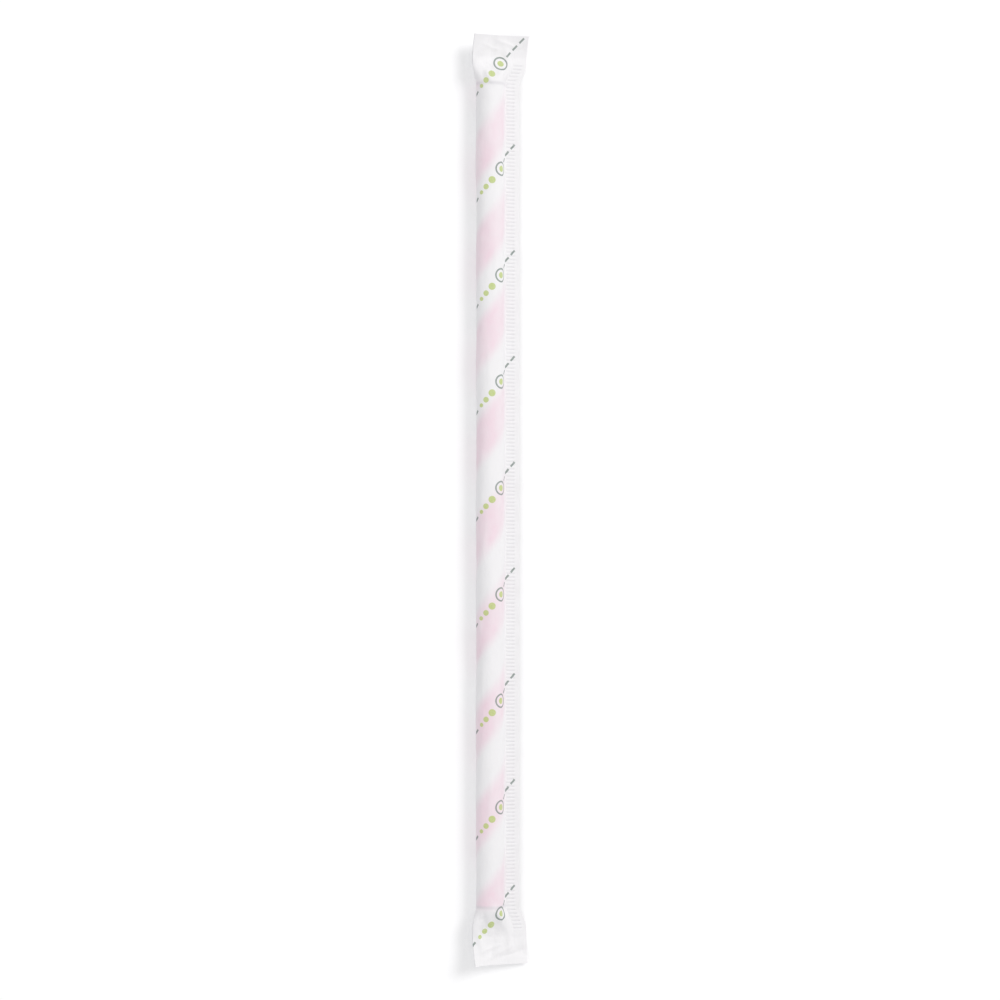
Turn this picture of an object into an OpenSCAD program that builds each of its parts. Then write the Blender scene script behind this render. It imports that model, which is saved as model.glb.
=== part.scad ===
// Drinking straw of spiral-wound paper, sealed in its own thin paper wrapper.
// It lies on its side: the straw runs along Y, and the wrapper's seam leans
// down to the surface on the +X side. The origin is under the middle of the box.

/* [Straw] */
// Outside diameter of the straw
straw_d = 6; // [4:0.5:12]
// Thickness of the straw's wound paper wall
straw_wall = 0.42; // [0.3:0.02:0.8]
// Length of the straw
straw_l = 197; // [120:1:260]

/* [Sleeve] */
// Thickness of one layer of the wrapping paper
paper_t = 0.06; // [0.05:0.01:0.1]
// Room between the straw's side and the paper round it
side_gap = 0.14; // [0.08:0.02:0.4]
// Room between each end of the straw and the start of the taper
end_gap = 0.3; // [0.1:0.1:3]
// Distance from the sleeve's side to the line where the two layers meet
root_gap = 0.8; // [0.4:0.1:2]

/* [Seam] */
// Width of the plain strip between the sleeve and the knurled band
inner_strip_w = 0.2; // [0.15:0.05:2]
// Width of the knurled band that holds the two layers together
knurl_w = 2.2; // [1:0.1:4]
// Distance from one rib of the knurled band to the next
rib_pitch = 0.9; // [0.6:0.05:1.6]
// Height of the knurled band from its valleys to its crests
rib_h = 0.16; // [0.08:0.02:0.18]
// Width of the plain lip outside the knurled band
lip_w = 1.1; // [0.4:0.1:3]
// How far the knurled band stops short of each end's crease
knurl_stop = 1; // [0.4:0.1:3]

/* [Ends] */
// Length of the taper from round to flat past the straw's upper end
upper_taper_l = 6.5; // [4:0.5:14]
// Length of the flat tab at the upper end
upper_tab_l = 5.2; // [2:0.1:16]
// Upward bend of the upper tab at its crease, in degrees
upper_bend = 9; // [0:1:20]
// Length of the taper from round to flat past the straw's lower end
lower_taper_l = 7.5; // [4:0.5:14]
// Length of the flat tab at the lower end
lower_tab_l = 6.5; // [2:0.1:16]
// Upward bend of the lower tab at its crease, in degrees
lower_bend = 6; // [0:1:20]
// How far the seam swings outward where the ends are pressed flat
end_swing = 1.9; // [0.5:0.1:3]
// Depth of the soft gathers across each taper
gather_h = 0.14; // [0:0.02:0.2]
// Distance from one gather to the next
gather_pitch = 4.4; // [4:0.1:8]

/* [Hidden] */

// The sleeve's radii and the seam's lines, measured from the straw's axis
hollow_r = straw_d / 2 + side_gap;
sleeve_r = hollow_r + paper_t;
root_u = sleeve_r + root_gap;
knurl_u = root_u + inner_strip_w;
lip_u = knurl_u + knurl_w;
edge_u = lip_u + lip_w;
// How far the band's swung ends lap into the plain strips beside them
strip_lap = 0.06;

// Places along the straw, measured from its middle
round_half_l = straw_l / 2 + end_gap;
upper_crease_y = round_half_l + upper_taper_l;
lower_crease_y = -round_half_l - lower_taper_l;
upper_edge_y = upper_crease_y + upper_tab_l;
lower_edge_y = lower_crease_y - lower_tab_l;

// Half the paper's run round the hollow, from the fold to the seam's root
touch_angle = acos(hollow_r / root_u);
half_run = hollow_r * (180 - touch_angle) * PI / 180 + sqrt(root_u ^ 2 - hollow_r ^ 2);
round_w = root_u + hollow_r;

// Steps of the lofted surfaces
arc_steps = 16;
taper_steps = 10;
// Half the height that the hollow keeps at its very ends
slit_h = paper_t / 3;

// The wrapper leans until the swung-out tabs reach the surface
tab_edge_u = edge_u + end_swing;
lean = asin(sleeve_r / norm([tab_edge_u, paper_t])) - atan(paper_t / tab_edge_u);
tab_fold_u = root_u - half_run - paper_t + end_swing;
tab_tip_rise = max(upper_tab_l * tan(upper_bend), lower_tab_l * tan(lower_bend));
mid_x = ((tab_edge_u + tab_fold_u) * cos(lean) + (tab_tip_rise + paper_t) * sin(lean)) / 2;
mid_y = (upper_edge_y + lower_edge_y) / 2;

// 0 along the straw, growing to 1 where the paper is flat
function flatness(y) =
    y > round_half_l ? min(1, (y - round_half_l) / upper_taper_l)
    : y < -round_half_l ? min(1, (-round_half_l - y) / lower_taper_l)
    : 0;

// Half the height between the two layers, 0 where they are pressed flat
function open_h(y) =
    let (t = flatness(y))
    hollow_r * (1 - t ^ 2 * (3 - 2 * t));

// Width from the fold to the root for a half height h: the paper doesn't stretch,
// so the hollow grows from round_w to the whole run as it is pressed flat
function hollow_w(h) = half_run - (half_run - round_w) * (h / hollow_r) ^ 2;

// Sideways swing of the seam, which takes its share of that growth
function swing(y) = end_swing * (1 - (open_h(y) / hollow_r) ^ 2);

// Rise of the paper beyond each crease
function tab_rise(y) =
    y > upper_crease_y ? (y - upper_crease_y) * tan(upper_bend)
    : y < lower_crease_y ? (lower_crease_y - y) * tan(lower_bend)
    : 0;

// Soft gathers that run along the tapers and die out towards the seam
function gather(u, y) =
    u > root_u ? 0
    : gather_h * sin(180 * flatness(y)) * sin(360 * (root_u - u) / gather_pitch)
      * min(1, (root_u - u) / gather_pitch);

// A point of the wrapper: u across, y along, w above the seam's plane
function place(u, y, w) = [u + swing(y), y, w + tab_rise(y) + gather(u, y)];

// Upper half of a teardrop: from the fold, round the arc, up to where it leaves
// for the point at root_u and root_w. h is half the height of the hollow, and
// grow is the thickness of the paper that lies outside the drawn surface's hollow.
function teardrop_half(y, h, grow, root_w) =
    let (
        fold_u = root_u - hollow_w(h) - grow,
        mid_u = (hollow_r + grow + fold_u) / 2,
        half_w = (hollow_r + grow - fold_u) / 2,
        root_at = [root_u - mid_u, root_w * half_w / (h + grow)],
        leave = atan2(root_at[1], root_at[0]) + acos(half_w / norm(root_at)),
        level = flatness(y)
    )
    [for (i = [0 : arc_steps])
        let (a = 180 - (180 - leave) * i / arc_steps, rise = sin(a))
        [mid_u + half_w * cos(a), i == 0 ? 0 : h * rise + grow * (rise + level * (1 - rise))]];

// Closed loop that has the given upper half, mirrored below the seam's plane
function mirrored_loop(half) = concat(
    half,
    [for (i = [len(half) - 1 : -1 : 0]) if (half[i][1] > 0.0001) [half[i][0], -half[i][1]]]
);

// Faces that close a loop of n points, from its first point across to the far side
function cap(n) = concat(
    [[0, 1, n - 1]],
    [for (i = [1 : 1 : ceil(n / 2) - 2]) [i, i + 1, n - i - 1, n - i]],
    n % 2 == 0 ? [[n / 2 - 1, n / 2, n / 2 + 1]] : []
);

// Solid through a list of loops that all have the same number of points
module loft(loops) {
    n = len(loops[0]);
    last = len(loops) - 1;
    polyhedron(
        points = [for (loop = loops) each loop],
        faces = concat(
            cap(n),
            [for (j = [0 : last - 1], i = [0 : n - 1])
                let (k = (i + 1) % n)
                [j * n + i, (j + 1) * n + i, (j + 1) * n + k, j * n + k]],
            [for (face = cap(n)) [for (i = [len(face) - 1 : -1 : 0]) last * n + face[i]]]
        ),
        convexity = 10
    );
}

// Stations of the round stretch and of both tapers
taper_ys = concat(
    [for (i = [taper_steps : -1 : 0]) -round_half_l - lower_taper_l * i / taper_steps],
    [for (i = [0 : taper_steps]) round_half_l + upper_taper_l * i / taper_steps]
);
all_ys = concat([lower_edge_y], taper_ys, [upper_edge_y]);

// Outside of the sleeve with the plain strip at its root
module sleeve_outside() {
    loft([for (y = all_ys)
        [for (p = mirrored_loop(concat(
            teardrop_half(y, open_h(y), paper_t, paper_t),
            [[root_u, paper_t], [knurl_u, paper_t]])))
            place(p[0], y, p[1])]]);
}

// Hollow that holds the straw and closes at both creases
module sleeve_hollow() {
    loft([for (y = taper_ys)
        [for (p = mirrored_loop(concat(
            teardrop_half(y, max(slit_h, open_h(y)), 0, 0),
            [[root_u, 0]])))
            place(p[0], y, p[1])]]);
}

// Flat strip of the two layers, from one line of the seam to another
module seam_strip(from_u, to_u, stations, heights) {
    loft([for (i = [0 : len(stations) - 1])
        let (y = stations[i], w = heights[i])
        [place(from_u, y, w + paper_t), place(to_u, y, w + paper_t),
         place(to_u, y, w - paper_t), place(from_u, y, w - paper_t)]]);
}

// Crests and valleys of the knurled band, counted from its lower end
rib_half = rib_pitch / 2;
band_low_y = lower_crease_y + knurl_stop;
band_steps = 2 * floor((upper_crease_y - knurl_stop - band_low_y) / rib_pitch);
function rib_y(i) = band_low_y + i * rib_half;
function rib_w(i) = i == 0 || i == band_steps ? 0 : (i % 2 == 0 ? -1 : 1) * rib_h / 2;

// The stretch of the band along the round sleeve is straight
straight_low = ceil((-round_half_l - band_low_y) / rib_half);
straight_high = floor((round_half_l - band_low_y) / rib_half);

// Knurled band along the round sleeve: the two layers pressed into one row of ribs.
// A thin tongue at each end of the stretch laps into the swung end beyond it.
module straight_band() {
    span = [straight_low : straight_high];
    tongue_low = rib_y(straight_low) - strip_lap;
    tongue_high = rib_y(straight_high) + strip_lap;
    upper_side = concat(
        [[tongue_low, rib_w(straight_low) + paper_t / 2]],
        [for (i = span) [rib_y(i), rib_w(i) + paper_t]],
        [[tongue_high, rib_w(straight_high) + paper_t / 2]]);
    lower_side = concat(
        [[tongue_low, rib_w(straight_low) - paper_t / 2]],
        [for (i = span) [rib_y(i), rib_w(i) - paper_t]],
        [[tongue_high, rib_w(straight_high) - paper_t / 2]]);
    translate([knurl_u, 0, 0]) rotate([90, 0, 90])
        linear_extrude(height = knurl_w)
            polygon(concat(upper_side, [for (i = [len(lower_side) - 1 : -1 : 0]) lower_side[i]]));
}

// One end of the band: its last ribs, from one count to another, then plain paper
module band_end(from, to, plain_ys) {
    low = [for (y = plain_ys) if (y < rib_y(from) - rib_half / 2) y];
    high = [for (y = plain_ys) if (y > rib_y(to) + rib_half / 2) y];
    seam_strip(knurl_u - strip_lap, lip_u + strip_lap,
        concat(low, [for (i = [from : to]) rib_y(i)], high),
        concat([for (y = low) 0], [for (i = [from : to]) rib_w(i)], [for (y = high) 0]));
}

// The straw and the wrapper are drawn round the straw's axis, then laid down
module laid_down() {
    translate([-mid_x, -mid_y, sleeve_r]) rotate([0, lean, 0]) children();
}

module straw() {
    color("#c8283c")
    laid_down()
    rotate([90, 0, 0])
    difference() {
        cylinder(h = straw_l, d = straw_d, center = true, $fn = 96);
        cylinder(h = straw_l + 2, d = straw_d - 2 * straw_wall, center = true, $fn = 96);
    }
}

module wrapper() {
    color("#f7f4f5")
    laid_down() {
        difference() {
            sleeve_outside();
            sleeve_hollow();
        }
        seam_strip(lip_u, edge_u, all_ys, [for (y = all_ys) 0]);
        band_end(0, straight_low, [for (y = all_ys) if (y < 0) y]);
        band_end(straight_high, band_steps, [for (y = all_ys) if (y > 0) y]);
        straight_band();
    }
}

straw();
wrapper();
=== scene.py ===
"""Dresses a paper drinking straw that is sealed in its own thin paper wrapper.

The straw lies on its side along Y. Shapes are worked out in millimetres round the
straw's axis: u runs across towards the seam, y along, and w up from the seam's plane.
FoldedWeb.laid_down then turns them into the row frame, in metres.
"""

import logging
import math
from collections.abc import Callable, Sequence
from dataclasses import dataclass, field
from enum import Enum

import bmesh
import bpy
import numpy as np
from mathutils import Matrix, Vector


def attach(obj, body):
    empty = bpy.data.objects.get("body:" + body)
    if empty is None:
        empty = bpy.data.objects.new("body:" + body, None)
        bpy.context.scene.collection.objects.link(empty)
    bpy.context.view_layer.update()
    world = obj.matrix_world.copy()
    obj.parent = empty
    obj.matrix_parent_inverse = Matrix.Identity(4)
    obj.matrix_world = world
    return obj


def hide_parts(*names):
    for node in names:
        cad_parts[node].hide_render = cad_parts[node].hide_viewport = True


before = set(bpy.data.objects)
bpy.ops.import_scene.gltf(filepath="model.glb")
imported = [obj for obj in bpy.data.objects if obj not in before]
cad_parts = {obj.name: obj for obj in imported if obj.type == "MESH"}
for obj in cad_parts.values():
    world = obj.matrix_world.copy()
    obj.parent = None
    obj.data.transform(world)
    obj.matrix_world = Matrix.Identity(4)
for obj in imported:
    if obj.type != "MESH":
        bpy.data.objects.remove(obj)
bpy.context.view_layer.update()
MM = 0.001
FLAT_MAP = "flat_sheet"
STRAW_MAP = "over_straw"
# How far the red band's edges lie from its middle line, in turns.
BAND_EDGE_TURN = 0.25
LOG = logging.getLogger("wrapped_straw")

Colour = tuple[float, float, float]
Socket = bpy.types.NodeSocket
Input = Socket | float


def smooth_step(t: np.ndarray) -> np.ndarray:
    """Soft step from 0 to 1 while t goes from 0 to 1."""
    t = np.clip(t, 0.0, 1.0)
    return t * t * (3.0 - 2.0 * t)


def linear(red: int, green: int, blue: int) -> Colour:
    """Turns a screen colour of 0 to 255 into the linear values that shaders take.

    Args:
        red: Red, 0 to 255.
        green: Green, 0 to 255.
        blue: Blue, 0 to 255.

    Returns:
        The three linear values.
    """
    parts = []
    for value in (red, green, blue):
        v = value / 255.0
        parts.append(v / 12.92 if v <= 0.04045 else ((v + 0.055) / 1.055) ** 2.4)
    return parts[0], parts[1], parts[2]


class Hand(Enum):
    """Which way a wound stripe climbs, seen from outside."""

    RIGHT = 1.0
    LEFT = -1.0


@dataclass(frozen=True)
class StrawSizes:
    """Sizes of the spiral-wound straw, in millimetres.

    Attributes:
        diameter: Outside diameter.
        wall: Thickness of the three plies together.
        length: Length of the tube.
        stripe_pitch: How far the stripe climbs in one turn.
        hand: Which way the stripe climbs.
        joint_depth: Depth of the groove where the outer ply's edges meet.
        joint_width: Width of that groove along the straw.
    """

    diameter: float = 6.0
    wall: float = 0.42
    length: float = 197.0
    stripe_pitch: float = 22.9
    hand: Hand = Hand.RIGHT
    joint_depth: float = 0.05
    joint_width: float = 0.3

    @property
    def radius(self) -> float:
        """Outside radius."""
        return self.diameter / 2


@dataclass(frozen=True)
class EndSizes:
    """One pressed end of the wrapper: its taper, its flat tab and the tab's bend.

    Attributes:
        taper: Length over which the sleeve is flattened.
        tab: Length of the flat tab.
        bend: Angle of the tab above the seam's plane, in degrees.
    """

    taper: float
    tab: float
    bend: float

    @property
    def rise(self) -> float:
        """Rise of the tab for each millimetre past the crease."""
        return math.tan(math.radians(self.bend))


@dataclass(frozen=True)
class WrapperSizes:
    """Sizes of the folded web, in millimetres, as the part's source has them.

    Attributes:
        paper: Thickness of the paper in the part's source.
        side_gap: Air between the straw and the paper round it.
        end_gap: Air between the straw's ends and the tapers.
        root_gap: How far past the sleeve its two layers meet.
        inner_strip: Plain strip between the root and the knurls.
        knurl: Width of the knurled band.
        rib_pitch: Distance between its ribs.
        rib_height: Height of its ribs.
        lip: Plain lip outside the knurls.
        knurl_stop: How far from the creases the knurls stop.
        upper: The end towards +Y.
        lower: The end towards -Y.
        end_swing: How far the seam swings outward at the flat ends.
        gather_height: Height of the tapers' soft gathers.
        gather_pitch: Distance between those gathers.
    """

    paper: float = 0.06
    side_gap: float = 0.14
    end_gap: float = 0.3
    root_gap: float = 0.8
    inner_strip: float = 0.2
    knurl: float = 2.2
    rib_pitch: float = 0.9
    rib_height: float = 0.16
    lip: float = 1.1
    knurl_stop: float = 1.0
    upper: EndSizes = EndSizes(taper=6.5, tab=5.2, bend=9.0)
    lower: EndSizes = EndSizes(taper=7.5, tab=6.5, bend=6.0)
    end_swing: float = 1.9
    gather_height: float = 0.14
    gather_pitch: float = 4.4


class FoldedWeb:
    """The wrapper's folded shape: where each point of the flat web comes to lie."""

    def __init__(self, straw: StrawSizes, sizes: WrapperSizes) -> None:
        """Works out the lines of the seam and the ends.

        Args:
            straw: The straw that the web is folded round.
            sizes: The web's own sizes.
        """
        self.straw = straw
        self.sizes = sizes
        self.hollow_r = straw.radius + sizes.side_gap
        self.sleeve_r = self.hollow_r + sizes.paper
        self.root_u = self.sleeve_r + sizes.root_gap
        self.knurl_u = self.root_u + sizes.inner_strip
        self.lip_u = self.knurl_u + sizes.knurl
        self.edge_u = self.lip_u + sizes.lip
        self.round_half = straw.length / 2 + sizes.end_gap
        self.upper_crease = self.round_half + sizes.upper.taper
        self.lower_crease = -self.round_half - sizes.lower.taper
        self.upper_edge = self.upper_crease + sizes.upper.tab
        self.lower_edge = self.lower_crease - sizes.lower.tab
        touch = math.acos(self.hollow_r / self.root_u)
        self.half_run = self.hollow_r * (math.pi - touch) + math.sqrt(
            self.root_u**2 - self.hollow_r**2
        )
        self.half_web = self.half_run + self.edge_u - self.root_u
        tab_u = self.edge_u + sizes.end_swing
        self.lean = math.asin(
            self.sleeve_r / math.hypot(tab_u, sizes.paper)
        ) - math.atan(sizes.paper / tab_u)
        fold_u = self.root_u - self.half_run - sizes.paper + sizes.end_swing
        tip = max(sizes.upper.tab * sizes.upper.rise, sizes.lower.tab * sizes.lower.rise)
        self.mid_x = (
            (tab_u + fold_u) * math.cos(self.lean) + (tip + sizes.paper) * math.sin(self.lean)
        ) / 2
        self.mid_y = (self.upper_edge + self.lower_edge) / 2

    def flatness(self, y: np.ndarray) -> np.ndarray:
        """0 along the straw, growing to 1 where the paper is flat.

        Args:
            y: Stations along the straw.

        Returns:
            The share at each station.
        """
        up = (y - self.round_half) / self.sizes.upper.taper
        down = (-self.round_half - y) / self.sizes.lower.taper
        return np.clip(np.maximum(up, down), 0.0, 1.0)

    def half_height(self, y: np.ndarray) -> np.ndarray:
        """Half the height between the two layers."""
        return self.hollow_r * (1.0 - smooth_step(self.flatness(y)))

    def hollow_width(self, h: np.ndarray) -> np.ndarray:
        """Width from the fold to the root, which grows as the paper is flattened."""
        round_w = self.root_u + self.hollow_r
        return self.half_run - (self.half_run - round_w) * (h / self.hollow_r) ** 2

    def swing(self, y: np.ndarray) -> np.ndarray:
        """Sideways swing of the seam at the flattened ends."""
        return self.sizes.end_swing * (1.0 - (self.half_height(y) / self.hollow_r) ** 2)

    def past_crease(self, y: np.ndarray) -> np.ndarray:
        """How far a line of the web lies past its end's crease, or 0."""
        return np.maximum(np.maximum(y - self.upper_crease, self.lower_crease - y), 0.0)

    def tab_rise(self, y: np.ndarray) -> np.ndarray:
        """Rise of the bent tabs, rounded over a short way past the crease.

        Args:
            y: Stations along the straw.

        Returns:
            The rise at each station.
        """
        rise = np.where(y > 0, self.sizes.upper.rise, self.sizes.lower.rise)
        past = self.past_crease(y)
        rounding, regained = 0.35, 1.02
        return rise * (np.sqrt(past**2 + rounding**2) - rounding) * regained

    def gather(self, u: np.ndarray, y: np.ndarray) -> np.ndarray:
        """Soft gathers that run along the tapers and die out towards the seam.

        Args:
            u: Distances across towards the seam.
            y: Stations along the straw.

        Returns:
            The rise at each point.
        """
        inward = np.maximum(self.root_u - u, 0.0)
        pitch = self.sizes.gather_pitch
        return (
            self.sizes.gather_height
            * np.sin(np.pi * self.flatness(y))
            * np.sin(2 * np.pi * inward / pitch)
            * np.minimum(1.0, inward / pitch)
        )

    def half_section(self, y: np.ndarray, shares: np.ndarray) -> tuple[np.ndarray, np.ndarray]:
        """Upper half of the sleeve at each y, at given shares of the paper's run.

        Args:
            y: Stations along the straw.
            shares: Shares of the run from the fold, 0, to the root, 1.

        Returns:
            The u and w of the paper's middle, one row a station.
        """
        grow = self.sizes.paper / 2
        steps = 72
        us = np.empty((len(y), len(shares)))
        ws = np.empty_like(us)
        heights = self.half_height(y)
        widths = self.hollow_width(heights)
        levels = self.flatness(y)
        ramp = np.linspace(0.0, 1.0, steps + 1)
        for k, (h, width, level) in enumerate(zip(heights, widths, levels)):
            fold_u = self.root_u - width - grow
            mid_u = (self.hollow_r + grow + fold_u) / 2
            half_w = (self.hollow_r + grow - fold_u) / 2
            root_x = self.root_u - mid_u
            root_y = grow * half_w / (h + grow)
            leave = math.atan2(root_y, root_x) + math.acos(half_w / math.hypot(root_x, root_y))
            a = np.pi - (np.pi - leave) * ramp
            rise = np.sin(a)
            u = np.append(mid_u + half_w * np.cos(a), self.root_u)
            lift = grow * (rise + level * (1.0 - rise))
            w = np.append(h * rise + lift * np.minimum(1.0, ramp * steps), grow)
            run = np.concatenate([[0.0], np.cumsum(np.hypot(np.diff(u), np.diff(w)))])
            us[k] = np.interp(shares * run[-1], run, u)
            ws[k] = np.interp(shares * run[-1], run, w)
        return us, ws

    @property
    def knurl_range(self) -> tuple[float, float]:
        """Where the knurled band starts and stops along the straw."""
        stop = self.sizes.knurl_stop
        return self.lower_crease + stop, self.upper_crease - stop

    def rib(self, y: np.ndarray) -> np.ndarray:
        """Height of the knurled band at y: wide ribs with pinched grooves between.

        Args:
            y: Stations along the straw.

        Returns:
            The rise at each station, below 0 in the grooves.
        """
        low, high = self.knurl_range
        fade_run, top, pinch, sharpness = 0.9, 0.75, 2.0, 4
        fade = smooth_step((y - low) / fade_run) * smooth_step((high - y) / fade_run)
        groove = np.cos(np.pi * (y - low) / self.sizes.rib_pitch) ** sharpness
        return self.sizes.rib_height / 2 * (top - pinch * groove) * fade

    def laid_down(self, points: np.ndarray) -> np.ndarray:
        """Turns points round the straw's axis into the row frame.

        Args:
            points: Rows of u, y and w, in millimetres.

        Returns:
            Rows of x, y and z, in metres.
        """
        c, s = math.cos(self.lean), math.sin(self.lean)
        u, y, w = points[:, 0], points[:, 1], points[:, 2]
        x = u * c + w * s - self.mid_x
        z = -u * s + w * c + self.sleeve_r
        return np.stack([x, y - self.mid_y, z], 1) * MM


@dataclass(frozen=True)
class CreaseLine:
    """One sharp line in a taper, from one point of the flat web to another.

    Attributes:
        start: Its s and y at the straw's rim.
        stop: Its s and y near the flat end.
        height: How far it stands out, or in where it is below 0.
        spread: How quickly the paper falls away beside it.
    """

    start: tuple[float, float]
    stop: tuple[float, float]
    height: float
    spread: float

    def field(self, s: np.ndarray, y: np.ndarray) -> np.ndarray:
        """Displacement by this line, which is highest near its middle.

        Args:
            s: Distances from the fold on the flat web.
            y: Stations along the web.

        Returns:
            How far the paper moves at each point.
        """
        rounding, begun, run = 0.2, 0.12, 0.8
        a, b = np.array(self.start), np.array(self.stop)
        d = b - a
        t = ((s - a[0]) * d[0] + (y - a[1]) * d[1]) / float(d @ d)
        t = np.clip(t, 0.0, 1.0)
        away = np.hypot(s - a[0] - t * d[0], y - a[1] - t * d[1])
        along = np.sin(np.pi * np.clip(begun + run * t, 0.0, 1.0))
        sharp = np.exp(-(np.sqrt(away**2 + rounding**2) - rounding) / self.spread)
        return self.height * sharp * along


@dataclass(frozen=True)
class CornerCurl:
    """One corner of an end tab that curls up past a slanting line.

    Attributes:
        corner: The corner's distance from the fold, and its y.
        toward: Direction from the curl's line to the corner, on the flat web.
        reach: How far from the corner the curl starts.
        height: Rise at the corner.
    """

    corner: tuple[float, float]
    toward: tuple[float, float]
    reach: float
    height: float

    def field(self, run: np.ndarray, y: np.ndarray) -> np.ndarray:
        """Rise of the corner, steeper and steeper towards its point.

        Args:
            run: Distances from the fold.
            y: Stations along the web.

        Returns:
            The rise at each point.
        """
        most, power = 1.2, 1.7
        size = math.hypot(*self.toward)
        short = (
            (self.corner[0] - run) * self.toward[0] + (self.corner[1] - y) * self.toward[1]
        ) / size
        return self.height * np.clip(1.0 - short / self.reach, 0.0, most) ** power


class SoftNoise:
    """Smooth noise over the flat web: a fixed sum of seeded waves."""

    def __init__(self, seed: int, across: float, along: float, waves: int = 14) -> None:
        """Draws the waves.

        Args:
            seed: Seed of the draw.
            across: Shortest wave across the web, in millimetres.
            along: Shortest wave along the web, in millimetres.
            waves: How many waves are summed.
        """
        rng = np.random.default_rng(seed)
        self.fs = rng.uniform(-1.0, 1.0, waves) / across
        self.fy = rng.uniform(-1.0, 1.0, waves) / along
        self.phase = rng.uniform(0.0, 2 * np.pi, waves)
        self.scale = math.sqrt(2.0 / waves)

    def at(self, s: np.ndarray, y: np.ndarray) -> np.ndarray:
        """The noise at each point, mostly between -1 and 1.

        Args:
            s: Distances from the fold.
            y: Stations along the web.

        Returns:
            The noise at each point.
        """
        total = np.zeros_like(s)
        for fs, fy, phase in zip(self.fs, self.fy, self.phase):
            total += np.sin(2 * np.pi * (fs * s + fy * y) + phase)
        return total * self.scale / 2


def grid_faces(index: np.ndarray) -> list[list[int]]:
    """Quads between the neighbours in a table of vertex numbers."""
    quads = [index[:-1, :-1], index[:-1, 1:], index[1:, 1:], index[1:, :-1]]
    return np.stack(quads, -1).reshape(-1, 4).tolist()


def fan_faces(fine: np.ndarray, first: int, last: int) -> list[list[int]]:
    """Triangles between a line of many points and a line of two.

    Args:
        fine: Vertex numbers along the line of many points.
        first: Vertex number across from its first point.
        last: Vertex number across from its last point.

    Returns:
        Vertex numbers of each triangle.
    """
    middle = len(fine) // 2
    near = [[first, p, q] for p, q in zip(fine[:middle], fine[1 : middle + 1])]
    far = [[last, p, q] for p, q in zip(fine[middle:-1], fine[middle + 1 :])]
    return [*near, [first, fine[middle], last], *far]


def mesh_from_faces(
    name: str, points: np.ndarray, faces: list[list[int]], maps: dict[str, np.ndarray]
) -> bpy.types.Object:
    """Makes a smooth mesh of the points that its faces use.

    Args:
        name: Name of the object.
        points: Vertices, one row each.
        faces: Vertex numbers of each face.
        maps: For each UV map's name, two numbers a vertex.

    Returns:
        The linked object.
    """
    used = np.unique(np.concatenate([np.array(face) for face in faces]))
    renumbered = np.zeros(len(points), np.int64)
    renumbered[used] = np.arange(len(used))
    mesh = bpy.data.meshes.new(name)
    mesh.from_pydata(points[used].tolist(), [], [renumbered[face].tolist() for face in faces])
    corners = np.empty(len(mesh.loops), np.int32)
    mesh.loops.foreach_get("vertex_index", corners)
    for title, values in maps.items():
        layer = mesh.uv_layers.new(name=title)
        placed = values[used][corners].astype(np.float32)
        layer.uv.foreach_set("vector", placed.ravel())
    mesh.shade_smooth()
    obj = bpy.data.objects.new(name, mesh)
    bpy.context.scene.collection.objects.link(obj)
    return obj


def sharpen_rims(mesh: bpy.types.Mesh) -> None:
    """Marks the open edges sharp, so that a wall's cut edge is shaded on its own.

    Args:
        mesh: The mesh, which is changed.
    """
    bm = bmesh.new()
    bm.from_mesh(mesh)
    for edge in bm.edges:
        edge.smooth = not edge.is_boundary
    bm.to_mesh(mesh)
    bm.free()


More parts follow.
